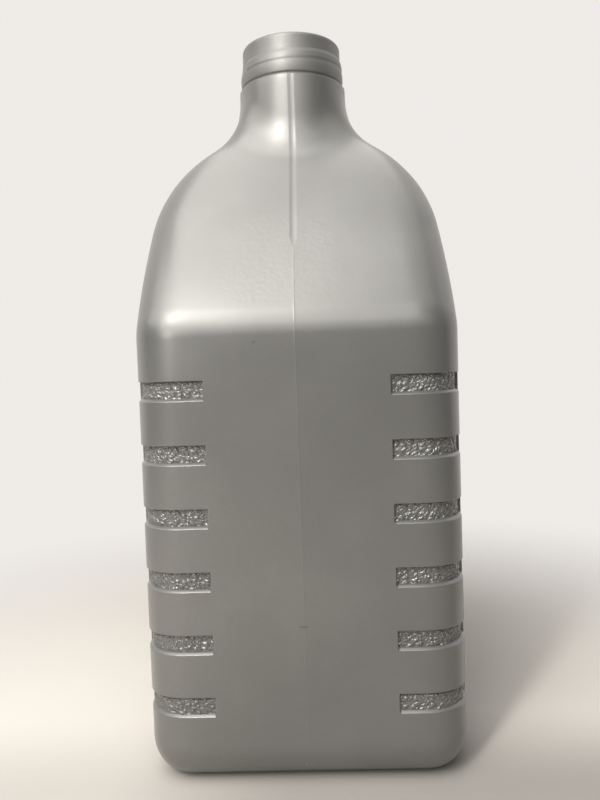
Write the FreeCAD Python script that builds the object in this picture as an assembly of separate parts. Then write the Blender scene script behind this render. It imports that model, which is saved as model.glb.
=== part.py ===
import FreeCAD, Part
import math
import os

V = FreeCAD.Vector
up = V(0, 0, 1)

# A blow-moulded jug. Millimetres and degrees. The origin is the middle of the base on
# the standing plane. Z is up, X runs across the narrow faces, Y across the wide ones.

# Body
width = 119.0            # between the two wide faces
depth = 160.0            # between the two narrow faces
wall = 1.2               # plastic thickness of the body
corner_r = 15.8          # upright corners, carried on up the shoulder
base_r = 15.3            # edge between the walls and the base, tighter than the corners

# Shoulder over the narrow faces: a rounded bend, then a leaning face
bend_z = 168.3           # height where the upright and leaning faces would cross
bend_r = 15.5
lean_r = 430.0           # the leaning face is slightly bowed outwards
crown_half = 10.47498    # from the middle to a leaning face, level with the crown

# Shoulder over the wide faces: they curve in and become a dome
curve_z = 162.7          # height where the wide faces start to curve in
crown_z = 256.0          # top of the dome, which the neck runs through
dome_inset = 1.5         # the dome's radius is this much under half the width

# Neck and its finish
neck_r = 23.8            # neck below the ledge
flare_r = 28.0           # hollow curve between shoulder and neck
ledge_z = 273.9          # top of the ledge under the finish
finish_h = 18.0          # from the ledge to the rim
finish_r = 21.8          # plain outside of the finish
finish_wall = 2.9
rim_r = 1.9              # rounding of the rim's outer edge
undercut_h = 0.9         # narrow neck between the ledge and the finish
undercut_depth = 0.7

# Bead at the foot of the finish and the thread above it
bead_h = 6.4
bead_rise = 0.8
thread_foot = 8.4        # middle of the thread's start, above the ledge
thread_rise = 0.5
thread_root = 0.4        # how far the ridge is sunk into the finish
thread_foot_h = 4.6      # height of the ridge at its foot
thread_crest_h = 2.4
thread_lead = 3.6
thread_turns = 0.92
thread_start = 208.0     # angle of the thread's start about Z, from +X

# Grip grooves: level slots that wrap round each upright corner
groove_count = 6
groove_h = 7.15
groove_pitch = 22.8
groove_low_z = 26.4      # underside of the lowest groove
groove_depth = 1.1
groove_gap = 65.8        # plain strip between the grooves on a narrow face
groove_reach = 17.0      # how far they run along the wide faces

# Channel along the parting line, from the neck down the leaning faces
channel_w = 2.6
channel_depth = 0.7
channel_low_z = 195.5    # its pointed lower end
channel_point = 4.0      # length of the point

# Base
panel_inset = 18.0       # from the walls to the raised middle of the base
panel_corner_r = 8.0
panel_rise = 2.5
panel_edge_r = 2.0       # rounding between its rise and its flat

dome_r = width / 2 - dome_inset
dome_z = crown_z - dome_r          # centre height of the dome
base_edge_r = min(base_r, corner_r - 0.5)   # rolls inside the upright corners
rim_z = ledge_z + finish_h
bore_r = finish_r - finish_wall
throat_z = ledge_z - finish_wall   # foot of the straight bore


def arc_point(centre, radius, heading):
    """The point of a left-turning arc where it runs in this direction."""
    return (centre[0] + radius * math.sin(heading), centre[1] - radius * math.cos(heading))


def path(start, moves):
    """Edges of a smooth run that starts straight up, in (across, height), and its end."""
    edges = []
    here = start
    heading = math.pi / 2
    for kind, size, turn in moves:
        if kind == "line":
            end = (here[0] + size * math.cos(heading), here[1] + size * math.sin(heading))
            edges.append(("line", here, end))
        else:
            centre = (here[0] - size * math.sin(heading), here[1] + size * math.cos(heading))
            middle = arc_point(centre, size, heading + turn / 2)
            end = arc_point(centre, size, heading + turn)
            edges.append(("arc", here, middle, end))
            heading += turn
        here = end
    return edges, here


def outline(edges, end, foot, place):
    """Closed face from a right-hand run, its mirror image and flat ends."""
    run = [Part.LineSegment(place(-foot[0], foot[1]), place(*foot))]
    for kind, *points in edges:
        for side in (1, -1):
            corners = [place(side * x, z) for x, z in points]
            run.append(Part.LineSegment(*corners) if kind == "line" else Part.Arc(*corners))
    if end[0] > 1e-6:
        run.append(Part.LineSegment(place(-end[0], end[1]), place(*end)))
    return Part.Face(Part.Wire(Part.__sortEdges__([piece.toShape() for piece in run])))


def arch(inset):
    """The body seen along Y: upright sides, a gentle curve in, and the dome."""
    half = width / 2
    rise = dome_z - curve_z
    # this arc leaves the upright side at curve_z and runs smoothly into the dome
    ease_r = (rise ** 2 + half ** 2 - dome_r ** 2) / (2 * (half - dome_r))
    turn = math.asin(rise / (ease_r - dome_r))
    foot = (half - inset, inset)
    edges, end = path(foot, [
        ("line", curve_z - inset, 0),
        ("arc", ease_r - inset, turn),
        ("arc", dome_r - inset, math.pi / 2 - turn)])
    face = outline(edges, end, foot, lambda x, z: V(x, -depth / 2, z))
    return face.extrude(V(0, depth, 0))


def bend_end_at(lean):
    """Where the bend ends, as (across, height), if it turns this far from upright."""
    straight = bend_z - bend_r * math.tan(lean / 2)
    return depth / 2 - bend_r * (1 - math.cos(lean)), straight + bend_r * math.sin(lean)


def crown_gap(lean):
    """Half the distance between the leaning faces at the crown, for a lean at the bend."""
    across, height = bend_end_at(lean)
    rise = crown_z - (height - lean_r * math.sin(lean))
    if rise >= lean_r:
        return -lean_r
    return across - lean_r * math.cos(lean) + math.sqrt(lean_r ** 2 - rise ** 2)


def bend_lean():
    """The lean at the bend that brings the leaning faces to crown_half at the crown."""
    upright, flat = 0.0, math.radians(80)
    for _ in range(60):
        middle = (upright + flat) / 2
        if crown_gap(middle) > crown_half:
            upright = middle
        else:
            flat = middle
    return (upright + flat) / 2


def profile(inset):
    """The body seen along X: upright narrow faces, the bend and the leaning faces."""
    half = depth / 2
    top = crown_z + corner_r
    lean = bend_lean()
    straight = bend_z - bend_r * math.tan(lean / 2)
    bend_end = bend_end_at(lean)[1]
    top_lean = math.asin(math.sin(lean) + (top - bend_end) / lean_r)
    foot = (half - inset, inset)
    edges, end = path(foot, [
        ("line", straight - inset, 0),
        ("arc", bend_r - inset, lean),
        ("arc", lean_r - inset, top_lean - lean)])
    face = outline(edges, end, foot, lambda y, z: V(-width / 2, y, z))
    return face.extrude(V(width, 0, 0))


def between_walls(body, edge):
    """True for an upright edge between a wall facing X and a wall facing Y."""
    if edge.BoundBox.ZMax < curve_z / 2:
        return False
    kinds = set()
    for face in body.ancestorsOfType(edge, Part.Face):
        u0, u1, v0, v1 = face.ParameterRange
        normal = face.normalAt((u0 + u1) / 2, (v0 + v1) / 2)
        kinds.add(abs(normal.x) < 1e-6)
    return len(kinds) == 2


def on_neck_root(edge, radius):
    """True for an edge where the shoulder meets the neck's cylinder."""
    if edge.Degenerated or not dome_z < edge.BoundBox.ZMin < edge.BoundBox.ZMax < ledge_z - 5:
        return False
    return all(abs(math.hypot(p.x, p.y) - radius) < 0.01 for p in edge.discretize(5))


def skin(inset):
    """The jug's outer form up to the ledge, shrunk all round by inset."""
    body = arch(inset).common(profile(inset)).Solids[0].removeSplitter()
    body = body.makeFillet(corner_r - inset, [e for e in body.Edges if between_walls(body, e)])
    floor = min(body.Faces, key=lambda f: f.CenterOfMass.z)
    body = body.makeFillet(base_edge_r - inset, floor.Edges)
    neck = Part.makeCylinder(neck_r - inset, ledge_z - inset - dome_z, V(0, 0, dome_z))
    joined = body.fuse(neck).removeSplitter()
    root = [e for e in joined.Edges if on_neck_root(e, neck_r - inset)]
    return joined.makeFillet(flare_r + inset, root)


def turned(points):
    """Solid of revolution about Z from an outline of (radius, height) points."""
    wire = Part.makePolygon([V(r, 0, z) for r, z in points + points[:1]])
    return Part.Face(wire).revolve(V(), up, 360)


def finish():
    """The neck above the ledge: undercut, bead, plain land and rounded rim."""
    foot = ledge_z + undercut_h
    narrow = finish_r - undercut_depth
    land = turned([
        (0, ledge_z - undercut_h), (narrow, ledge_z - undercut_h), (narrow, foot),
        (finish_r, foot + undercut_depth / 2), (finish_r, rim_z), (0, rim_z)])
    rim = [e for e in land.Edges if e.BoundBox.ZMin > rim_z - 1e-3 and e.Length > 1]
    land = land.makeFillet(rim_r, rim)
    bead = turned([
        (0, foot), (finish_r, foot), (finish_r + bead_rise, foot + bead_rise),
        (finish_r + bead_rise, foot + bead_h - 2 * bead_rise), (finish_r, foot + bead_h),
        (0, foot + bead_h)])
    return land.fuse(bead).fuse(thread())


def thread():
    """One ridge wound round the finish, rising to the right as seen from outside."""
    radius = finish_r - thread_root
    helix = Part.makeHelix(thread_lead, thread_lead * thread_turns, radius)
    foot, crest = thread_foot_h / 2, thread_crest_h / 2
    corners = [V(radius, 0, -foot), V(finish_r + thread_rise, 0, -crest),
               V(finish_r + thread_rise, 0, crest), V(radius, 0, foot)]
    section = Part.makePolygon(corners + corners[:1])
    ridge = Part.Wire(helix).makePipeShell([section], True, True)
    ridge.rotate(V(), up, thread_start)
    ridge.translate(V(0, 0, ledge_z + thread_foot))
    return ridge


def rounded_block(inset, low, high, radius):
    """Upright block with rounded corners, set in from the body's walls."""
    x, y = width / 2 - inset, depth / 2 - inset
    block = Part.makeBox(2 * x, 2 * y, high - low, V(-x, -y, low))
    upright = [e for e in block.Edges if abs(e.Vertexes[0].Z - e.Vertexes[1].Z) > 1e-6]
    return block.makeFillet(radius, upright)


def grooves(floor_inset, grow):
    """All grip grooves, as the solids that are taken away, each side widened by grow."""
    low, high = groove_low_z - grow, groove_low_z + groove_h + grow
    start = groove_gap / 2 - grow
    end = depth / 2 - groove_reach - grow
    spare = 2.0
    floor = rounded_block(floor_inset, low - spare, high + spare, corner_r - floor_inset)
    band = rounded_block(-spare, low, high, corner_r + spare).cut(floor)
    cuts = []
    for side in (1, -1):
        for face in (1, -1):
            x = start if side > 0 else -start - width
            y = end if face > 0 else -end - depth
            corner = Part.makeBox(width, depth, high - low, V(x, y, low))
            cuts.append(band.common(corner))
    row = Part.makeCompound(cuts)
    rows = []
    for level in range(groove_count):
        copy = row.copy()
        copy.translate(V(0, 0, level * groove_pitch))
        rows.append(copy)
    return Part.makeCompound(rows)


def channel(outer, inset, grow):
    """Pointed channel down the parting line on both sides, as the solid taken away."""
    half = channel_w / 2 + grow
    low = channel_low_z - grow
    tip = [V(0, 0, low), V(half, 0, low + channel_point), V(half, 0, ledge_z + 1),
           V(-half, 0, ledge_z + 1), V(-half, 0, low + channel_point)]
    plate = Part.Face(Part.makePolygon(tip + tip[:1])).extrude(V(0, depth, 0))
    plate.translate(V(0, -depth / 2, 0))
    return outer.cut(skin(inset)).common(plate)


def base_panel(grow):
    """The raised middle of the base, as the solid taken away."""
    block = rounded_block(panel_inset - grow, -panel_rise, panel_rise + grow, panel_corner_r)
    roof = max(block.Faces, key=lambda f: f.CenterOfMass.z)
    return block.makeFillet(panel_edge_r, roof.Edges)


def jug():
    """The whole jug as one hollow solid."""
    outer = skin(0.0)
    outer = outer.cut(channel(outer, channel_depth, 0.0))
    outer = outer.cut(grooves(groove_depth, 0.0)).cut(base_panel(0.0))
    inner = skin(wall)
    inner = inner.cut(channel(inner, channel_depth + wall, wall))
    inner = inner.cut(grooves(groove_depth + wall, wall)).cut(base_panel(wall))
    throat = Part.makeCone(neck_r - wall, bore_r, finish_wall, V(0, 0, ledge_z - 2 * finish_wall))
    bore = Part.makeCylinder(bore_r, rim_z - throat_z + 1, V(0, 0, throat_z))
    return outer.fuse(finish()).cut(inner).cut(throat.fuse(bore))


os.makedirs("parts", exist_ok=True)
jug().exportStep("parts/jug_body.step")
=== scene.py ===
import math

import bpy
import numpy as np
from mathutils import Matrix, Vector


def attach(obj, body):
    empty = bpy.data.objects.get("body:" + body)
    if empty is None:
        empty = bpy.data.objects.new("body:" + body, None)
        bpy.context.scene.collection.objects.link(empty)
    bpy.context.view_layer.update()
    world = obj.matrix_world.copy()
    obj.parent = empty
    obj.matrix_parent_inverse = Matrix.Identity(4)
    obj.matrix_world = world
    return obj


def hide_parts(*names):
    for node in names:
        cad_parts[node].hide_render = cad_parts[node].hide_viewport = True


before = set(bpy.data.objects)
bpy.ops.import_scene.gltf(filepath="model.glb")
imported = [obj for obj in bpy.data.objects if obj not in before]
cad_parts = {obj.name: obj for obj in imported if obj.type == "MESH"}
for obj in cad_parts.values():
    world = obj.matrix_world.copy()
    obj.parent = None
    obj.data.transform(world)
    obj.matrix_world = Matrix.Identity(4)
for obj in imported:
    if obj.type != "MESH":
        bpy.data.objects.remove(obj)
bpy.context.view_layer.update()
mm = 0.001
print("frame loaded")


# A socket of a node tree. Python's operators add Math nodes; node() makes any other node.
class Wire:
    def __init__(self, tree, socket=None):
        self.tree = tree
        self.socket = socket

    def node(self, kind, settings=None, sockets=None, out=0):
        made = self.tree.nodes.new(kind)
        for name, value in (settings or {}).items():
            setattr(made, name, value)
        for name, value in (sockets or {}).items():
            if isinstance(value, Wire):
                self.tree.links.new(value.socket, made.inputs[name])
            else:
                made.inputs[name].default_value = value
        return Wire(self.tree, made.outputs[out] if len(made.outputs) else None)

    def math(self, operation, *values):
        return self.node("ShaderNodeMath", {"operation": operation}, dict(enumerate(values)))

    def __add__(self, other):
        return self.math("ADD", self, other)

    def __radd__(self, other):
        return self.math("ADD", other, self)

    def __sub__(self, other):
        return self.math("SUBTRACT", self, other)

    def __rsub__(self, other):
        return self.math("SUBTRACT", other, self)

    def __mul__(self, other):
        return self.math("MULTIPLY", self, other)

    def __rmul__(self, other):
        return self.math("MULTIPLY", other, self)

    def __truediv__(self, other):
        return self.math("DIVIDE", self, other)

    def __rtruediv__(self, other):
        return self.math("DIVIDE", other, self)

    # 0 below low, 1 above high, with a soft run between them
    def step(self, low, high):
        settings = {"interpolation_type": "SMOOTHSTEP"}
        return self.node("ShaderNodeMapRange", settings, {0: self, 1: low, 2: high})

    def parts(self):
        split = self.node("ShaderNodeSeparateXYZ", sockets={0: self})
        return [Wire(self.tree, s) for s in split.socket.node.outputs]

    def vector(self, x, y, z):
        return self.node("ShaderNodeCombineXYZ", sockets={0: x, 1: y, 2: z})


# The jug's form, in millimetres and degrees
jug = {
    "width": 119.0, "depth": 160.0, "wall": 1.2,
    "cornerR": 15.8, "baseR": 15.3, "cornerEase": 1.35,
    "bendZ": 168.3, "bendR": 20.0, "bendLean": 31.5, "leanR": 430.0,
    "curveZ": 162.7, "domeZ": 198.0, "domeInset": 1.5,
    "neckR": 23.5, "flareR": 33.0, "ledgeZ": 273.6, "lipR": 0.3,
    "neckDraw": 0.10, "drawRun": 3.0,            # the neck rounds off under the ledge
    "panelInset": 18.0, "panelCornerR": 8.0, "panelRise": 2.5,   # raised middle of the base
    "seamHalf": 0.4, "seamDrop": 0.45,           # where the mould pinched the tube shut
    "creaseSlope": 0.016, "creaseReach": 11.0,   # the two mould halves meet at a slight angle
    "lineRise": 0.030, "lineHalf": 0.30,         # the parting line itself
    "lineSink": 0.13, "lineSinkWidth": 26.0,     # and the plane it stands on
    "sink": 0.22, "sinkNarrow": 0.8, "sinkWide": 1.6,   # flat walls draw in as they cool
    "wave": 0.05,                                # and stay a little uneven
}
groove = {
    "count": 6, "height": 7.15, "pitch": 22.8, "lowZ": 26.4, "depth": 1.35,
    "gap": 65.8, "reach": 17.0,
    "under": 0.80,                                   # the shell lies this far under the grain
    "insideUnder": 0.35,                             # and its inside this much
    "round": 0.40,                                   # run of each edge
    "lipRun": 0.85, "lipShare": 0.50, "lipEnd": 0.2,   # the lower edge is a chamfer
}
channel = {"width": 2.8, "depth": 0.16, "lowZ": 195.5, "point": 4.0, "round": 1.25}


def smooth(value, low, high):
    t = np.clip((value - low) / (high - low), 0.0, 1.0)
    return t * t * (3.0 - 2.0 * t)


# Sines and cosines of even turns from 0 to 90 degrees
def quarterTurns(count):
    angles = [math.radians(turn) for turn in np.linspace(0.0, 90.0, count)]
    return [(math.sin(a), math.cos(a)) for a in angles]


# Distance to an outline made of a straight side and two arcs that run on smoothly,
# and the upward share of its direction outwards
def archField(x, z, inset):
    half = jug["width"] / 2
    domeR = half - jug["domeInset"]
    rise = jug["domeZ"] - jug["curveZ"]
    easeR = (rise ** 2 + half ** 2 - domeR ** 2) / (2 * (half - domeR))
    across = np.abs(x)
    easeX = across - (half - easeR)
    up = z - jug["curveZ"]
    far = np.hypot(easeX, up)
    turn = math.asin(rise / (easeR - domeR))
    domeFar = np.maximum(np.hypot(across, z - jug["domeZ"]), 1e-9)
    onDome = np.arctan2(up, easeX) > turn
    distance = np.where(onDome, domeFar - domeR, far - easeR)
    lift = np.where(onDome, (z - jug["domeZ"]) / domeFar, up / np.maximum(far, 1e-9))
    straight = up <= 0
    return np.where(straight, across - half, distance) + inset, np.where(straight, 0.0, lift)


def profileField(y, z, inset):
    half, bendR, leanR = jug["depth"] / 2, jug["bendR"], jug["leanR"]
    lean = math.radians(jug["bendLean"])
    start = jug["bendZ"] - bendR * math.tan(lean / 2)
    across = np.abs(y) - (half - bendR)
    up = z - start
    far = np.maximum(np.hypot(across, up), 1e-9)
    shift = leanR - bendR
    leanX, leanUp = across + shift * math.cos(lean), up + shift * math.sin(lean)
    leanFar = np.hypot(leanX, leanUp)
    onLean = np.arctan2(up, across) > lean
    distance = np.where(onLean, leanFar - leanR, far - bendR)
    lift = np.where(onLean, leanUp / leanFar, up / far)
    straight = up <= 0
    return np.where(straight, across - bendR, distance) + inset, np.where(straight, 0.0, lift)


# Two surfaces joined by a corner that starts gently; cosine is that of the angle between
# their normals, and the corner's middle lies where a plain arc of this radius has it
def rolled(a, b, radius, cosine):
    middle = np.sqrt((1.0 + cosine) / 2)
    power = jug["cornerEase"] * math.log(2) / -np.log(np.minimum(middle, 0.9995))
    spread = radius * (1 - middle) / (1 - 2 ** (-1 / power))
    u, v = np.maximum(a + spread, 1e-6), np.maximum(b + spread, 1e-6)
    high, low = np.maximum(u, v), np.minimum(u, v)
    return high * (1 + (low / high) ** power) ** (1 / power) - spread


def bodyField(x, y, z, inset):
    a, liftA = archField(x, z, inset)
    b, liftB = profileField(y, z, inset)
    return rolled(a, b, jug["cornerR"] - inset, liftA * liftB)


# How far out from the axis a field's surface lies, along level directions, by halving
def reachOf(field, dirX, dirY):
    farthest, halvings = 110.0, 44
    near, far = np.zeros(dirX.shape), np.full(dirX.shape, farthest)
    for _ in range(halvings):
        middle = (near + far) / 2
        inside = field(middle * dirX, middle * dirY) < 0
        near, far = np.where(inside, middle, near), np.where(inside, far, middle)
    return (near + far) / 2


# Columns: places round a quarter of the upright section, close together where something starts
columnPlan = {
    "line": [0, 0.11, 0.22, 0.34, 0.6, 0.95, 1.15, 1.3, 1.45, 1.8],   # parting line and channel
    "narrow": [2.6, 4, 6, 9, 12, 15.5, 19, 22.5, 26, 29, 31.2, 35.5, 38, 40.5, 43],
    "grooveEnd": [-0.55, -0.2, 0.0, 0.1, 0.2, 0.3, 0.42, 0.7],        # into the groove
    "corner": 17,
    "wide": [61.2, 59.4, 57.5, 55, 51, 47, 42.5, 38, 33, 28, 23, 18, 13.5, 9, 4.5, 0],
}


def sectionColumns():
    half, deep, r = jug["width"] / 2, jug["depth"] / 2, jug["cornerR"]
    end = groove["gap"] / 2
    side = deep - groove["reach"]
    across = sorted(columnPlan["line"] + columnPlan["narrow"]
                    + [end + e for e in columnPlan["grooveEnd"]])
    along = sorted(columnPlan["wide"] + [side - e for e in columnPlan["grooveEnd"]], reverse=True)
    quarter = [(x, deep) for x in across]
    quarter += [(half - r + r * sine, deep - r + r * cosine)
                for sine, cosine in quarterTurns(columnPlan["corner"])]
    quarter += [(half, y) for y in along]
    right = quarter + [(x, -y) for x, y in reversed(quarter[:-1])]
    ring = right + [(-x, y) for x, y in reversed(right[1:-1])]
    return np.array(ring)


columns = sectionColumns()


# Level directions of the columns at heights: near the parting line they keep their own
# distance from it, further off they fan out from the axis
def directions(frontY):
    x, y = columns[:, 0], columns[:, 1]
    straightEnd, fanFrom = jug["width"] / 2 - jug["cornerR"], 3.0
    fan = np.clip((np.abs(x) - fanFrom) / (straightEnd - fanFrom), 0.0, 1.0)
    narrow = np.abs(y) > jug["depth"] / 2 - 1e-6
    fan = np.where(narrow, fan, 1.0)
    half = jug["depth"] / 2
    deep = frontY[:, None] + (half - frontY[:, None]) * fan[None, :]
    dirY = np.where(narrow[None, :], np.sign(y)[None, :] * deep, y[None, :])
    dirX = np.broadcast_to(x[None, :], dirY.shape)
    length = np.hypot(dirX, dirY)
    return dirX / length, dirY / length


# The wall from above the base edge to the ledge: the body, then a hollow curve to the neck
def wallRows(heights, inset):
    z = np.asarray(heights, float)
    neckR, flareR = jug["neckR"] - inset, jug["flareR"] + inset
    crown = jug["domeZ"] + jug["width"] / 2   # the body's own surface ends a little under it
    samples = np.linspace(jug["curveZ"] - 2.0, crown - 6.0, 340)

    def body(levels, dirX, dirY):
        return reachOf(lambda x, y: bodyField(x, y, levels, inset), dirX, dirY)

    # where the hollow curve of this direction touches the body, and its centre's height
    def flare(dirX, dirY):
        level = np.broadcast_to(samples[:, None], (len(samples), dirX.size))
        reach = body(level, np.broadcast_to(dirX, level.shape), np.broadcast_to(dirY, level.shape))
        off = neckR + flareR - reach
        centre = np.where(np.abs(off) < flareR,
                          level + np.sqrt(np.maximum(flareR ** 2 - off ** 2, 0.0)), -1e9)
        best = centre.argmax(0)
        return samples[best], centre.max(0)

    def blend(levels, reach, touch, centre):
        off = np.clip(centre - levels, 0.0, flareR)
        arc = neckR + flareR - np.sqrt(flareR ** 2 - off ** 2)
        return np.where(levels > touch, arc, reach)

    def solve(dirX, dirY, touch, centre):
        level = np.broadcast_to(z[:, None], dirX.shape)
        safe = np.minimum(level, crown - 5.0)
        return blend(level, body(safe, dirX, dirY), touch, centre)

    touch, centre = flare(np.array([0.0]), np.array([1.0]))
    one = np.ones((len(z), 1))
    frontY = solve(0 * one, one, touch, centre)[:, 0]
    dirX, dirY = directions(frontY)
    angles = np.linspace(0, math.pi / 2, 181)
    touches, centres = flare(np.sin(angles), np.cos(angles))
    # each column reads its touch height between those of even directions
    heading = np.arctan2(np.abs(dirX), np.abs(dirY))
    touch = np.interp(heading, angles, touches)
    centre = np.interp(heading, angles, centres)
    reach = solve(dirX, dirY, touch, centre)
    return np.stack([reach * dirX, reach * dirY, np.broadcast_to(z[:, None], reach.shape)], -1)


# A level ring set in from the walls, with its own corner radius
def flatRow(inset, cornerR, z):
    a, b = jug["width"] / 2 - inset, jug["depth"] / 2 - inset
    length = np.hypot(columns[:, 0], columns[:, 1])
    dirX, dirY = columns[:, 0] / length, columns[:, 1] / length

    def field(x, y):
        return rolled(np.abs(x) - a, np.abs(y) - b, cornerR, 0.0)

    reach = reachOf(field, dirX, dirY)
    return np.stack([reach * dirX, reach * dirY, np.full(reach.shape, z)], -1)


# A round ring, its points in the directions that the columns have at the neck
def roundRow(radius, z):
    dirX, dirY = directions(np.array([jug["neckR"]]))
    return np.stack([radius * dirX[0], radius * dirY[0], np.full(len(columns), z)], -1)


# Unit normals at the points of a grid of rows
def outwards(grid):
    around = np.roll(grid, -1, 1) - np.roll(grid, 1, 1)
    up = np.gradient(grid, axis=0)
    normal = np.cross(up, around)
    return normal / np.maximum(np.linalg.norm(normal, axis=-1, keepdims=True), 1e-9)


# 1 in the grip grooves, or in the same grooves grown by the wall, and 0 outside them
def grooveMask(x, y, z, grow, run):
    low = groove["lowZ"] - grow
    high = groove["height"] + 2 * grow
    level = np.clip(np.round((z - low - high / 2) / groove["pitch"]), 0, groove["count"] - 1)
    local = z - low - level * groove["pitch"]
    across = np.abs(x) - (groove["gap"] / 2 - grow)
    along = np.abs(y) - (jug["depth"] / 2 - groove["reach"] - grow)
    lip = groove["lipRun"]
    lower = (groove["lipShare"] * np.clip(local / lip, 0.0, 1.0)
             + (1.0 - groove["lipShare"]) * smooth(local, lip, lip + groove["lipEnd"]))
    return (lower * smooth(high - local, 0, run)
            * smooth(across, 0, run) * smooth(along, 0, run))


# 1 in the channel that runs down from the neck and ends in a point
def channelMask(x, z, grow, run):
    half = channel["width"] / 2 + grow
    above = z - (channel["lowZ"] - grow)
    half = half * np.clip(above / channel["point"], 0.0, 1.0)
    return np.clip((half - np.abs(x)) / run, 0.0, 1.0) * (above > 0)


# Everything that stands out from or goes into the plain form, along its normal
def relief(points, inset):
    x, y, z = points[..., 0], points[..., 1], points[..., 2]
    narrowSides = np.abs(y) > 5
    # the walls' sink fades out towards the corners, the base and the shoulder
    onNarrow = smooth(jug["width"] / 2 - jug["cornerR"] - np.abs(x), -6.0, 10.0) * narrowSides
    onWide = smooth(jug["depth"] / 2 - jug["cornerR"] - np.abs(y), -6.0, 14.0)
    upright = smooth(z, 8.0, 40.0) * smooth(jug["curveZ"] - 6 - z, 0.0, 30.0)
    depth = -jug["sink"] * upright * np.maximum(
        onNarrow * jug["sinkNarrow"], onWide * jug["sinkWide"])
    # three long waves that cross, in millimetres
    wave = (np.sin(z / 9.7 + 0.8 * np.sin(x / 23.0)) + np.sin(x / 11.3 + z / 31.0 + 1.3)
            + np.sin(y / 14.9 - z / 19.0 + 0.4))
    depth += -jug["wave"] * (1.0 + wave / 3.0) * smooth(z, 3.0, 20.0)
    if inset == 0:
        away = 1.0 - np.exp(-np.abs(x) / jug["creaseReach"])
        fade = smooth(z, 4.0, 14.0) * narrowSides
        depth += -jug["creaseSlope"] * jug["creaseReach"] * away * fade
        line = np.clip(1.0 - np.abs(x) / jug["lineHalf"], 0.0, 1.0)
        plane = jug["lineSink"] * np.exp(-(x / jug["lineSinkWidth"]) ** 2) * smooth(z, 0.0, 6.0)
        depth += (jug["lineRise"] * smooth(line, 0.0, 1.0) - plane) * narrowSides
    run = channel["round"] + inset
    depth += -channel["depth"] * channelMask(x, z, inset, run)
    floor = groove["depth"] + (groove["under"] if inset == 0 else groove["insideUnder"])
    depth += -floor * grooveMask(x, y, z, inset, groove["round"] + inset * 0.5)
    return depth


# Heights of the rows outside and inside; three numbers in round brackets are from, to and step
outerPlan = {
    "foot": [16.2, 17.6, 19.5, 22, 24.4],
    "lip": [-0.9, -0.3, -0.06, 0.06, 0.3, 0.6, 0.8, 0.9, 0.97, 1.05],   # up from a groove's lip
    "brow": [-0.9, -0.35, 0.0, 0.1, 0.2, 0.3, 0.42, 0.8],   # down from its upper edge
    "floor": 2.4,                                           # in from both
    "rib": [3.2, 6.4, 9.4, 12.4],                           # up from a groove to the next
    "underBend": [150.5, 153.5, 156, 158],
    "bend": (159.5, 177.0, 0.8), "lean": (178.0, 194.5, 1.6), "dome": (202.2, 262.0, 2.2),
    "channelEnd": [194.9, 195.3, 195.6, 196.1, 196.8, 197.6, 198.5, 199.4, 199.8, 200.6],
    "ledge": [263.5, 266, 268, 269.3, 270.2, 270.9, 271.5, 272, 272.4, 272.75, 273.05],
}
innerPlan = {
    "foot": [16.2, 18.5, 22], "edge": [-0.2, 1.1], "rib": 6.5,
    "bend": (160.0, 180.0, 3.5), "dome": (183.0, 262.0, 6.0), "neck": [266.0],
}


def outerHeights():
    rows = [jug["baseR"]]
    for level in range(groove["count"]):
        low = groove["lowZ"] + level * groove["pitch"]
        high = low + groove["height"]
        rows += [low + e for e in outerPlan["lip"]] + [high - e for e in outerPlan["brow"]]
        rows += [low + outerPlan["floor"], high - outerPlan["floor"]]
        if level < groove["count"] - 1:
            rows += [high + e for e in outerPlan["rib"]]
    for part in ("foot", "underBend", "channelEnd", "ledge"):
        rows += outerPlan[part]
    for part in ("bend", "lean", "dome"):
        rows += list(np.arange(*outerPlan[part]))
    return sorted(set(round(float(r), 4) for r in rows))


def innerHeights():
    rows = innerPlan["foot"] + innerPlan["neck"]
    for level in range(groove["count"]):
        low = groove["lowZ"] + level * groove["pitch"] - jug["wall"]
        high = low + groove["height"] + 2 * jug["wall"]
        rows += [low + e for e in innerPlan["edge"]] + [high - e for e in innerPlan["edge"]]
        rows += [high + innerPlan["rib"]]
    for part in ("bend", "dome"):
        rows += list(np.arange(*innerPlan[part]))
    return sorted(set(round(float(r), 4) for r in rows))


# Level rings under the base, from the middle outwards, and back again on its inside: how far
# each is set in from the walls, its height, and its corner radius where that isn't the panel's
baseRings = [(50, 2.5), (40, 2.5), (31, 2.5), (24, 2.5), (20.6, 2.5), (19.8, 2.38), (19.1, 2.0),
             (18.6, 1.4), (18.3, 0.7), (18.1, 0.2), (17.9, 0.03), (17.5, 0.0), (16.4, 0.0, 3.0)]
insideRings = [(16.4, 1.3, 4.0), (17.0, 2.2, 4.0), (17.9, 3.3), (19.4, 3.7), (30, 3.7), (48, 3.7)]
# The throat between the ledge and the inside of the neck: radius, and how far under the ledge
throatRings = [(21.6, 0.0), (19.7, 0.0), (19.7, 2.0), (20.0, 3.0), (21.4, 4.4), (22.5, 5.6)]


def levelRings(plan):
    return [flatRow(inset, corner[0] if corner else jug["panelCornerR"], z)
            for inset, z, *corner in plan]


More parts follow.
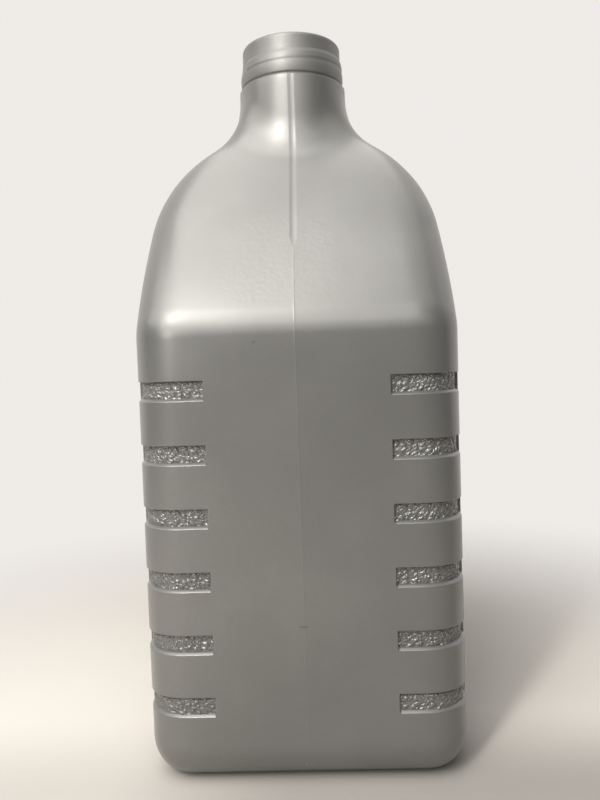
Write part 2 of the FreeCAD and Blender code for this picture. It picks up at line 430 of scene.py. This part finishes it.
# One closed skin: the middle of the base, out and up to the ledge, then back down inside
def buildShell():
    wall, ledge = jug["wall"], jug["ledgeZ"]
    base = levelRings(baseRings)
    for sine, cosine in quarterTurns(14)[:-1]:
        inset = jug["baseR"] * (1 - sine)
        base.append(flatRow(inset, jug["cornerR"] - inset, jug["baseR"] * (1 - cosine)))
    outer = np.concatenate([np.array(base), wallRows(outerHeights(), 0.0)])
    # the neck ends in a narrow ledge
    lip = [roundRow(jug["neckR"] - jug["neckDraw"] - jug["lipR"] * (1 - cosine),
                    ledge - jug["lipR"] * (1 - sine)) for sine, cosine in quarterTurns(7)]
    outer = np.concatenate([outer, np.array(lip)])
    normal = outwards(outer)
    rounding = np.clip(1.0 - (ledge - outer[..., 2]) / jug["drawRun"], 0.0, 1.0) ** 2
    rounding = rounding * (outer[..., 2] < ledge - jug["lipR"] - 0.01)
    move = relief(outer, 0.0) - jug["neckDraw"] * rounding
    # on the ledge's own rim everything moves level, towards the axis
    flat = outer.copy()
    flat[..., 2] = 0.0
    flat /= np.maximum(np.linalg.norm(flat, axis=-1, keepdims=True), 1e-9)
    rim = (outer[..., 2] > ledge - jug["drawRun"])[..., None]
    outer = outer + np.where(rim, flat, normal) * move[..., None]
    # the seam under the base
    under = (outer[..., 2] < jug["panelRise"] + 0.1) & (np.abs(outer[..., 0]) < jug["seamHalf"])
    pinched = under & (np.abs(outer[..., 1]) < jug["depth"] / 2 - jug["panelInset"] - 2)
    outer[..., 2] = np.where(pinched, outer[..., 2] - jug["seamDrop"], outer[..., 2])
    outer[..., 2] = np.clip(outer[..., 2], 0.0, None)

    inner = wallRows(innerHeights(), wall)[::-1]
    inner = inner + outwards(inner[::-1])[::-1] * relief(inner, wall)[..., None]
    throat = [roundRow(radius, ledge - down) for radius, down in throatRings]
    floor = []
    for turn in (70.0, 50.0, 32.0, 16.0, 4.0):
        a = math.radians(turn)
        inset = wall + (jug["baseR"] - wall) * (1 - math.sin(a))
        floor.append(flatRow(inset, max(jug["cornerR"] - inset, 0.4),
                             wall + (jug["baseR"] - wall) * (1 - math.cos(a))))
    floor += levelRings(insideRings)
    grid = np.concatenate([outer, np.array(throat), inner, np.array(floor)])

    rows, count = grid.shape[:2]
    middles = [[0, 0, baseRings[0][1]], [0, 0, insideRings[-1][1]]]
    points = np.concatenate([grid.reshape(-1, 3), middles])
    faces = []
    for j in range(rows - 1):
        for k in range(count):
            n = (k + 1) % count
            faces.append((j * count + k, j * count + n, (j + 1) * count + n, (j + 1) * count + k))
    first, last = rows * count, rows * count + 1
    for k in range(count):
        n = (k + 1) % count
        faces.append((first, n, k))
        faces.append((last, (rows - 1) * count + k, (rows - 1) * count + n))
    return meshPiece("jugShell", points, faces)


# A smooth mesh object from millimetre points, with its faces turned outwards
def meshPiece(name, points, faces):
    mesh = bpy.data.meshes.new(name)
    mesh.from_pydata((np.asarray(points) * mm).tolist(), [], [list(f) for f in faces])
    mesh.validate()
    piece = bpy.data.objects.new(name, mesh)
    bpy.context.scene.collection.objects.link(piece)
    faceOutwards(mesh)
    mesh.shade_smooth()
    return piece


def faceOutwards(mesh):
    mesh.calc_loop_triangles()
    co = np.zeros(len(mesh.vertices) * 3)
    mesh.vertices.foreach_get("co", co)
    co = co.reshape(-1, 3)
    corners = np.zeros(len(mesh.loop_triangles) * 3, int)
    mesh.loop_triangles.foreach_get("vertices", corners)
    a, b, c = (co[corners.reshape(-1, 3)[:, i]] for i in range(3))
    volume = np.einsum("ij,ij->i", a, np.cross(b, c)).sum() / 6
    if volume < 0:
        mesh.flip_normals()
    print(mesh.name, "triangles", len(mesh.loop_triangles), "volume mm3", round(abs(volume) * 1e9))


shell = buildShell()
print("shell built")


# The neck finish: a turned ring, then the thread raised along its helix by Geometry Nodes
neck = {
    "radius": 21.6, "bore": 18.9, "rimZ": 291.9, "rimR": 1.9, "lipR": 0.7,
    "spread": 0.75, "spreadLowZ": 278.5, "spreadHighZ": 287.0,   # wider towards its foot
    "footZ": 272.6, "throatZ": 270.9,
    "undercutR": 21.8, "undercutZ": 274.75, "undercutRun": 0.45,
    "landRise": 0.32, "landZ": 278.0, "landHalf": 3.2,   # the land under the thread bulges
    "boreRows": (289.0, 286.0, 282.0, 278.0, 274.0),
    "segments": 288, "step": 0.2,
}
threadSizes = {
    "Radius": neck["radius"], "Rise": 0.42, "Lead": 3.6, "Turns": 0.92, "Start": 208.0,
    "Foot Z": 281.7, "Foot Half": 2.6, "Run Up": 2.0, "Run Down": 1.7,
    "Dip": 0.06, "Dip Half": 0.55, "End Run": 5.0, "End Slim": 0.45,   # it thins at its ends
}


def finishProfile():
    r, top, low = neck["radius"], neck["rimZ"], neck["undercutZ"]
    line = [(neck["undercutR"], neck["footZ"]), (neck["undercutR"], low - 0.3)]
    z = first = low - 0.1
    while z < top - neck["rimR"] - 0.02:
        out = float(smooth(z, first, low + neck["undercutRun"]))
        bulge = max(0.0, 1.0 - ((z - neck["landZ"]) / neck["landHalf"]) ** 2)
        spread = 1.0 - float(smooth(z, neck["spreadLowZ"], neck["spreadHighZ"]))
        land = r + neck["spread"] * spread + neck["landRise"] * bulge
        line.append((neck["undercutR"] + (land - neck["undercutR"]) * out, z))
        z += neck["step"]
    # the rim's outer edge, then its inner one
    for sine, cosine in quarterTurns(11):
        line.append((r - neck["rimR"] * (1 - cosine), top - neck["rimR"] * (1 - sine)))
    for sine, cosine in quarterTurns(7):
        line.append((neck["bore"] + neck["lipR"] * (1 - sine), top - neck["lipR"] * (1 - cosine)))
    throat = neck["throatZ"]
    line += [(neck["bore"], z) for z in neck["boreRows"] + (throat,)]
    # its lower end hooks round the ledge, out of sight
    line += [(19.2, throat - 0.25), (19.9, throat + 0.2), (20.3, neck["footZ"] - 0.3)]
    return line


def buildTurned(name, line, segments):
    points, faces = [], []
    for r, z in line:
        for k in range(segments):
            a = 2 * math.pi * k / segments
            points.append((r * math.cos(a), r * math.sin(a), z))
    for j in range(len(line)):
        m = (j + 1) % len(line)
        for k in range(segments):
            n = (k + 1) % segments
            faces.append((j * segments + k, j * segments + n, m * segments + n, m * segments + k))
    return meshPiece(name, points, faces)


# A Geometry Nodes tree with named number inputs; returns the tree, a start wire and the inputs
def newTree(name, sizes):
    tree = bpy.data.node_groups.new(name, "GeometryNodeTree")
    tree.interface.new_socket("Geometry", in_out="INPUT", socket_type="NodeSocketGeometry")
    for label, value in sizes.items():
        kind = "NodeSocketInt" if isinstance(value, int) else "NodeSocketFloat"
        tree.interface.new_socket(label, in_out="INPUT", socket_type=kind)
    tree.interface.new_socket("Geometry", in_out="OUTPUT", socket_type="NodeSocketGeometry")
    group = tree.nodes.new("NodeGroupInput")
    start = Wire(tree, group.outputs["Geometry"])
    return tree, start, {label: Wire(tree, group.outputs[label]) for label in sizes}


def endTree(tree, geometry, material):
    whole = geometry.node("GeometryNodeRealizeInstances", sockets={"Geometry": geometry})
    named = whole.node("GeometryNodeSetMaterial", sockets={"Geometry": whole, "Material": material})
    out = tree.nodes.new("NodeGroupOutput")
    tree.links.new(named.socket, out.inputs["Geometry"])


# Runs the tree once on the piece and keeps the result as a plain mesh
def bakeTree(piece, tree, sizes):
    modifier = piece.modifiers.new(tree.name, "NODES")
    modifier.node_group = tree
    for item in tree.interface.items_tree:
        if item.in_out == "INPUT" and item.name in sizes:
            modifier[item.identifier] = sizes[item.name]
    bpy.context.view_layer.update()
    evaluated = piece.evaluated_get(bpy.context.evaluated_depsgraph_get())
    mesh = bpy.data.meshes.new_from_object(evaluated)
    piece.modifiers.remove(modifier)
    mesh.name = piece.name
    piece.data = mesh
    faceOutwards(mesh)
    mesh.shade_smooth()
    return piece


# Finishes. Lengths in a pattern are in metres, as Object coordinates are.
plastic = {
    "color": (0.240, 0.238, 0.230, 1.0), "shade": (0.213, 0.211, 0.204, 1.0),
    "metallic": 0.50, "coatRoughness": 0.22,
    "cloudScale": 24.0, "cloudFrom": 0.35, "cloudTo": 0.68, "cloudShare": 0.75,   # broad tone
    "speckScale": 900.0, "speckFrom": 0.3, "speckTo": 0.7, "speckShare": 0.25,    # fine tone
    "bumpDepth": 0.0002,
}
finishes = {
    "silverPlastic": {"roughness": 0.33, "bump": 0.05, "coat": 0.25},   # the walls
    "silverFinish": {"roughness": 0.43, "bump": 0.03, "coat": 0.08},    # the neck finish
    "silverGrain": {"roughness": 0.25, "bump": 0.02, "coat": 0.25},     # the grooves' floors
}
# Orange peel in the middle of the leaning faces, fading out sideways, below and above
peelPatch = {
    "scale": 560.0, "strength": 0.22, "depth": 0.0003, "middle": -0.004,
    "sides": (0.012, 0.034), "below": (0.166, 0.180), "above": (0.205, 0.225),
}
# Small marks on the front face: place, half width and half height in metres, and how dark; a
# negative darkness is a painted highlight, as on the flash tab
marks = {
    "speck": {"x": -0.0146, "z": 0.1604, "wide": 0.0009, "tall": 0.0004, "dark": 0.22},
    "tick": {"x": -0.0005, "z": 0.0587, "wide": 0.0018, "tall": 0.0004, "dark": 0.25},
    # painted highlight where the flash tab at the base catches the light
    "flashHighlight": {"x": -0.0010, "z": 0.0073, "wide": 0.0003, "tall": 0.0014, "dark": -0.30},
}
# and a painted highlight along a faint crease, part of a circle round this middle, right of it and
# above it
creaseHighlight = {
    "x": -0.0115, "z": 0.1875, "radius": 0.0243, "half": 0.0004, "pale": 0.05,
    "rightOf": (0.011, 0.018), "above": (0.0, 0.004),
}
markEdge = (0.6, 1.3)        # a mark fades out here, in half sizes from its middle
frontFace = (-0.02, -0.01)   # and all of them fade out between these depths


# How much darker the marks make the front face; the painted highlights of the flash tab and the
# crease make it lighter
def marksAndPaintedHighlights(start, x, y, z):
    total = 0.0
    for mark in marks.values():
        offX, offZ = (x - mark["x"]) / mark["wide"], (z - mark["z"]) / mark["tall"]
        off = start.math("SQRT", offX * offX + offZ * offZ)
        total = total + (1.0 - off.step(*markEdge)) * mark["dark"]
    offX, offZ = x - creaseHighlight["x"], z - creaseHighlight["z"]
    off = start.math("ABSOLUTE", start.math("SQRT", offX * offX + offZ * offZ) - creaseHighlight["radius"])
    # the crease's painted highlight lightens the colour along the arc
    arc = ((1.0 - off.step(0.0, creaseHighlight["half"])) * offX.step(*creaseHighlight["rightOf"])
           * offZ.step(*creaseHighlight["above"]))
    return (total - arc * creaseHighlight["pale"]) * (1.0 - y.step(*frontFace))


def plasticMaterial(name):
    look = finishes[name]
    material = bpy.data.materials.new(name)
    material.use_nodes = True
    tree = material.node_tree
    tree.nodes.clear()
    start = Wire(tree)
    place = start.node("ShaderNodeTexCoord", out=3)
    cloud = start.node("ShaderNodeTexNoise", sockets={
        "Vector": place, "Scale": plastic["cloudScale"], "Detail": 3.0, "Roughness": 0.55})
    speck = start.node("ShaderNodeTexNoise", sockets={
        "Vector": place, "Scale": plastic["speckScale"], "Detail": 2.0, "Roughness": 0.6})
    tone = (cloud.step(plastic["cloudFrom"], plastic["cloudTo"]) * plastic["cloudShare"]
            + speck.step(plastic["speckFrom"], plastic["speckTo"]) * plastic["speckShare"])
    color = start.node("ShaderNodeMix", {"data_type": "RGBA"}, {
        0: tone, 6: plastic["shade"], 7: plastic["color"]}, out=2)
    x, y, z = place.parts()
    # the marks darken the colour, and the painted highlights on the flash tab and the crease
    # lighten it
    color = start.node("ShaderNodeVectorMath", {"operation": "SCALE"}, {
        0: color, "Scale": 1.0 - marksAndPaintedHighlights(start, x, y, z)})
    # the roughness keeps its middle while it varies a little
    rough = look["roughness"] - 0.03 + cloud * 0.05 + speck * 0.02
    peel = start.node("ShaderNodeTexNoise", sockets={
        "Vector": place, "Scale": peelPatch["scale"], "Detail": 1.0})
    across = start.math("ABSOLUTE", x - peelPatch["middle"])
    spread = ((1.0 - across.step(*peelPatch["sides"])) * z.step(*peelPatch["below"])
              * (1.0 - z.step(*peelPatch["above"])))
    normal = start.node("ShaderNodeBump", sockets={
        "Strength": look["bump"], "Distance": plastic["bumpDepth"], "Height": speck})
    normal = start.node("ShaderNodeBump", sockets={
        "Strength": spread * peelPatch["strength"], "Distance": peelPatch["depth"],
        "Height": peel, "Normal": normal})
    shader = start.node("ShaderNodeBsdfPrincipled", sockets={
        "Base Color": color, "Metallic": plastic["metallic"], "Roughness": rough, "Normal": normal,
        "Coat Weight": look["coat"], "Coat Roughness": plastic["coatRoughness"]})
    start.node("ShaderNodeOutputMaterial", sockets={"Surface": shader})
    return material


smoothPlastic, finishPlastic, grainPlastic = (plasticMaterial(name) for name in finishes)
shell.data.materials.append(smoothPlastic)
print("finishes made")


# Raises the thread: height above the helix sets the ridge's section, turn along it its ends
def threadTree():
    tree, start, size = newTree("threadRidge", threadSizes)
    here = start.node("GeometryNodeInputPosition")
    x, y, z = here.parts()
    reach = here.math("SQRT", x * x + y * y)
    # turn from the start, 0 to 360, counted so that the ridge climbs to the right
    heading = here.math("ARCTAN2", y, x) * (180.0 / math.pi)
    turn = here.math("FLOORED_MODULO", heading - size["Start"], 360.0)
    whole = size["Turns"] * 360.0
    level = (size["Foot Z"] + size["Lead"] * turn / 360.0) * mm
    # it starts fairly suddenly and runs out two and a half times as slowly
    ends = turn.step(0.0, size["End Run"]) * (whole - turn).step(0.0, size["End Run"] * 2.5)
    slim = 1.0 - size["End Slim"] + ends * size["End Slim"]
    foot = size["Foot Half"] * slim * mm
    above = (foot + level - z).step(0.0, size["Run Up"] * slim * mm)
    below = (foot + z - level).step(0.0, size["Run Down"] * slim * mm)
    # a faint dip runs along the ridge's upper foot
    past = here.math("ABSOLUTE", z - level - foot) / mm
    dip = (1.0 - past.step(0.0, size["Dip Half"])) * size["Dip"]
    # only the outer skin moves, not the bore
    outside = reach.step((size["Radius"] - 0.9) * mm, (size["Radius"] - 0.5) * mm)
    rise = (above * below * size["Rise"] - dip) * ends * outside * mm
    offset = here.vector(x / reach * rise, y / reach * rise, 0.0)
    moved = start.node("GeometryNodeSetPosition", sockets={"Geometry": start, "Offset": offset})
    endTree(tree, moved, finishPlastic)
    return tree


finish = buildTurned("neckFinish", finishProfile(), neck["segments"])
finish = bakeTree(finish, threadTree(), threadSizes)
print("neck finish built")


# Grained floors of the grip grooves, one piece for the six grooves of a corner
grainSizes = {
    "Rows": groove["count"], "Steps Along": 200, "Steps Up": 34, "Overlap": 0.12,
    "Pitch": groove["pitch"], "Low Z": groove["lowZ"], "Height": groove["height"],
    "Start X": groove["gap"] / 2, "End Y": jug["depth"] / 2 - groove["reach"],
    "Corner X": jug["width"] / 2 - jug["cornerR"], "Corner Y": jug["depth"] / 2 - jug["cornerR"],
    "Corner R": jug["cornerR"] - groove["depth"],
    "Thickness": 1.00, "Relief": 0.55, "Sink": 0.60, "Sink Run": 1.5,
    "Cell Along": 1.95, "Cell Up": 1.2, "Warp": 2.2, "Warp Scale": 0.5, "Slant": 0.35,
    "Side X": 1.0, "Side Y": 1.0, "Seed": 0.0,   # which corner, and its own pattern
}


def grainTree():
    tree, start, size = newTree("grooveGrain", grainSizes)
    straight = size["Corner X"] - size["Start X"] + size["Overlap"]
    bend = size["Corner R"] * (math.pi / 2)
    length = straight + bend + size["Corner Y"] - size["End Y"] + size["Overlap"]
    tall = size["Height"] + size["Overlap"] * 2.0
    slab = start.node("GeometryNodeMeshCube", sockets={
        "Size": start.vector(length, tall, 1.0), "Vertices X": size["Steps Along"],
        "Vertices Y": size["Steps Up"], "Vertices Z": 2})
    line = start.node("GeometryNodeMeshLine", sockets={
        "Count": size["Rows"], "Offset": start.vector(0.0, size["Pitch"], 0.0)})
    copies = start.node("GeometryNodeInstanceOnPoints", sockets={"Points": line, "Instance": slab})
    flat = start.node("GeometryNodeRealizeInstances", sockets={"Geometry": copies})
    along, up, side = start.node("GeometryNodeInputPosition").parts()
    along = along + length * 0.5
    top = side.step(-0.1, 0.1)
    # long rounded bumps, pulled about and tilted by a softer pattern
    soft = start.node("ShaderNodeTexNoise", sockets={
        "Vector": start.vector(along, up, size["Seed"]), "Scale": size["Warp Scale"],
        "Detail": 1.0}, out=1)
    pullX, pullY, _ = soft.parts()
    slanted = up - along * size["Slant"]
    where = start.vector((along + (pullX - 0.5) * size["Warp"]) / size["Cell Along"],
                         (slanted + (pullY - 0.5) * size["Warp"]) / size["Cell Up"],
                         size["Seed"])
    edge = start.node("ShaderNodeTexVoronoi", {"feature": "DISTANCE_TO_EDGE"}, {
        "Vector": where, "Scale": 1.0, "Randomness": 1.0})
    middle = start.node("ShaderNodeTexVoronoi", {"feature": "F1"}, {
        "Vector": where, "Scale": 1.0, "Randomness": 1.0})
    # each bump is part dome, part flat top with a narrow valley round it
    dome = 1.0 - start.math("MINIMUM", middle * middle * 2.2, 1.0)
    grain = dome * 0.6 + edge.step(0.0, 0.22) * 0.4
    # the floor sinks under the upper edge
    sunk = (1.0 - (tall * 0.5 - up).step(0.3, size["Sink Run"])) * size["Sink"]
    level = 0.72   # share of the relief that lies under the groove's floor
    height = top * ((grain - level) * size["Relief"] + size["Thickness"] - sunk) - size["Thickness"]
    turn = start.math("MINIMUM", start.math("MAXIMUM", (along - straight) / size["Corner R"], 0.0),
                      math.pi / 2)
    first = start.math("MINIMUM", along, straight)
    last = start.math("MAXIMUM", along - straight - bend, 0.0)
    out = size["Corner R"] + height
    x = size["Start X"] - size["Overlap"] + first + out * start.math("SINE", turn)
    y = size["Corner Y"] - last + out * start.math("COSINE", turn)
    z = size["Low Z"] + size["Height"] * 0.5 + up
    place = start.vector(x * size["Side X"] * mm, y * size["Side Y"] * mm, z * mm)
    moved = start.node("GeometryNodeSetPosition", sockets={"Geometry": flat, "Position": place})
    endTree(tree, moved, grainPlastic)
    return tree


corners = {
    "grainFrontLeft": {"Side X": -1.0, "Side Y": -1.0, "Seed": 3.0},
    "grainFrontRight": {"Side X": 1.0, "Side Y": -1.0, "Seed": 17.0},
    "grainBackLeft": {"Side X": -1.0, "Side Y": 1.0, "Seed": 31.0},
    "grainBackRight": {"Side X": 1.0, "Side Y": 1.0, "Seed": 47.0},
}
grainGroup = grainTree()
pads = []
for name, corner in corners.items():
    pad = bpy.data.objects.new(name, bpy.data.meshes.new(name))
    bpy.context.scene.collection.objects.link(pad)
    pads.append(bakeTree(pad, grainGroup, {**grainSizes, **corner}))
print("groove grain built")

for piece in [shell, finish] + pads:
    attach(piece, "root")
    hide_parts("jug_body")


# Stage: a pale cloth that runs on into a pale background; the room in front of it is dimmer
stage = {
    "floorHalf": 3.0, "floorDrop": 0.0001,
    "floorColor": (0.84, 0.80, 0.75), "farColor": (0.86, 0.83, 0.805, 1.0),
    "nearRadius": 0.10, "farRadius": 0.40,   # the cloth fades into the background
    "foldScale": 9.0, "foldStrength": 0.25, "foldDepth": 0.01,
    # painted shadow on the cloth in front of the object, stronger to the right
    "frontFrom": -0.02, "frontTo": -0.085, "paintedShadowFront": 0.24,
    "rightFrom": -0.08, "rightTo": 0.0, "paintedShadowRight": 0.28,
    "worldLight": (0.80, 0.80, 0.82, 1.0), "worldStrength": 0.12,
    "backOnFloor": (0.0, 0.5), "backInWorld": (-0.25, 0.35),   # where mirrors meet the background
}


# 1 for the rays that show the background: from the camera, or mirrored or refracted towards
# the side that lies behind the object
def seenDirectly(start, behind):
    rays = start.node("ShaderNodeLightPath").socket.node.outputs
    camera, glossy, through = (Wire(start.tree, rays[n]) for n in (
        "Is Camera Ray", "Is Glossy Ray", "Is Transmission Ray"))
    return start.math("MINIMUM", camera + (glossy + through) * behind, 1.0)


def buildFloor():
    size = stage["floorHalf"]
    mesh = bpy.data.meshes.new("floor")
    mesh.from_pydata([(-size, -size, 0), (size, -size, 0), (size, size, 0), (-size, size, 0)], [],
                     [(0, 1, 2, 3)])
    floor = bpy.data.objects.new("floor", mesh)
    bpy.context.scene.collection.objects.link(floor)
    floor.location.z = -stage["floorDrop"]
    material = bpy.data.materials.new("paleCloth")
    material.use_nodes = True
    tree = material.node_tree
    tree.nodes.clear()
    start = Wire(tree)
    place = start.node("ShaderNodeTexCoord", out=3)
    x, y, _ = place.parts()
    reach = start.math("SQRT", x * x + y * y)
    far = reach.step(stage["nearRadius"], stage["farRadius"])
    fold = start.node("ShaderNodeTexNoise", sockets={
        "Vector": place, "Scale": stage["foldScale"], "Detail": 2.0})
    normal = start.node("ShaderNodeBump", sockets={
        "Strength": stage["foldStrength"], "Distance": stage["foldDepth"], "Height": fold})
    # painted shadow: the cloth's colour is darkened close in front of the object, most of all to
    # the right, where its shade falls
    front = 1.0 - y.step(stage["frontTo"], stage["frontFrom"])
    right = x.step(stage["rightFrom"], stage["rightTo"])
    dark = front * (stage["paintedShadowFront"] + stage["paintedShadowRight"] * right)
    paintedShadowCloth = start.node("ShaderNodeVectorMath", {"operation": "SCALE"}, {
        0: stage["floorColor"], "Scale": 1.0 - dark})
    cloth = start.node("ShaderNodeBsdfDiffuse", sockets={"Color": paintedShadowCloth, "Normal": normal})
    glow = start.node("ShaderNodeEmission", sockets={"Color": stage["farColor"], "Strength": 1.0})
    seen = seenDirectly(start, y.step(*stage["backOnFloor"]))
    mixed = start.node("ShaderNodeMixShader", sockets={0: far * seen, 1: cloth, 2: glow})
    start.node("ShaderNodeOutputMaterial", sockets={"Surface": mixed})
    mesh.materials.append(material)


def buildWorld():
    world = bpy.data.worlds.new("studio")
    bpy.context.scene.world = world
    world.use_nodes = True
    tree = world.node_tree
    tree.nodes.clear()
    start = Wire(tree)
    _, back, _ = start.node("ShaderNodeTexCoord", out=0).parts()
    seen = seenDirectly(start, back.step(*stage["backInWorld"]))
    light = start.node("ShaderNodeBackground", sockets={
        "Color": stage["worldLight"], "Strength": stage["worldStrength"]})
    shown = start.node("ShaderNodeBackground", sockets={
        "Color": stage["farColor"], "Strength": 1.0})
    mixed = start.node("ShaderNodeMixShader", sockets={0: seen, 1: light, 2: shown})
    start.node("ShaderNodeOutputWorld", sockets={"Surface": mixed})


# Lamps: heading and height in degrees round the jug's shoulder, size in metres, power in watts
lamps = {
    "windowLow": {"heading": -25, "height": 24, "wide": 0.36, "tall": 0.36, "power": 0.2},
    "window": {"heading": -25, "height": 41, "wide": 0.36, "tall": 0.36, "power": 0.8},
    "windowHigh": {"heading": -30, "height": 64, "wide": 0.5, "tall": 0.5, "power": 1.65},
    "stripLow": {"heading": -25, "height": 24, "wide": 0.08, "tall": 0.50, "power": 3.0},
    "strip": {"heading": -25, "height": 45, "wide": 0.10, "tall": 0.50, "power": 1.15},
    "side": {"heading": -60, "height": 40, "wide": 0.5, "tall": 0.5, "power": 1.4},
    "front": {"heading": 0, "height": 42, "wide": 0.5, "tall": 0.5, "power": 1.2},
    "frontLow": {"heading": 0, "height": 22, "wide": 0.3, "tall": 0.36, "power": 0.35},
    "right": {"heading": 40, "height": 60, "wide": 0.5, "tall": 0.5, "power": 0.4},
    "rightLow": {"heading": 25, "height": 25, "wide": 0.3, "tall": 0.36, "power": 0.2},
    "ceiling": {"heading": -50, "height": 78, "wide": 0.4, "tall": 0.4, "power": 0.65},
    "back": {"heading": 180, "height": 70, "wide": 0.5, "tall": 0.5, "power": 1.15},
}
lampFar = 0.8                   # they stand this far from their middle and face it
lampMiddle = (0.0, 0.0, 0.17)
lampColor = (1.0, 0.977, 0.93)


def buildLamps():
    middle = Vector(lampMiddle)
    for name, lamp in lamps.items():
        data = bpy.data.lights.new(name, "AREA")
        data.shape = "RECTANGLE"
        data.size, data.size_y = lamp["wide"], lamp["tall"]
        data.energy = lamp["power"]
        data.color = lampColor
        thing = bpy.data.objects.new(name, data)
        a, h = math.radians(lamp["heading"]), math.radians(lamp["height"])
        away = Vector((math.sin(a) * math.cos(h), -math.cos(a) * math.cos(h), math.sin(h)))
        thing.location = middle + away * lampFar
        thing.rotation_mode = "QUATERNION"
        thing.rotation_quaternion = away.to_track_quat("Z", "Y")
        bpy.context.scene.collection.objects.link(thing)


# Camera: millimetres and radians
view = {"x": 8.78, "y": -335.27, "z": 152.65, "yaw": -0.03014, "pitch": -0.051,
        "roll": -0.03463, "lens": 32.917}


def buildCamera():
    yaw, pitch, roll = view["yaw"], view["pitch"], view["roll"]
    ahead = Vector((math.sin(yaw) * math.cos(pitch), math.cos(yaw) * math.cos(pitch),
                    math.sin(pitch)))
    level = Vector((math.cos(yaw), -math.sin(yaw), 0.0))
    top = level.cross(ahead)
    right = level * math.cos(roll) + top * math.sin(roll)
    up = top * math.cos(roll) - level * math.sin(roll)
    data = bpy.data.cameras.new("camera")
    data.lens = view["lens"]
    data.clip_start = 0.01
    camera = bpy.data.objects.new("camera", data)
    turned = Matrix((right, up, -ahead)).transposed().to_4x4()
    place = Vector((view["x"], view["y"], view["z"])) * mm
    camera.matrix_world = Matrix.Translation(place) @ turned
    bpy.context.scene.collection.objects.link(camera)
    bpy.context.scene.camera = camera


buildFloor()
buildWorld()
buildLamps()
buildCamera()
bpy.context.scene.view_settings.view_transform = "Standard"
print("stage built")
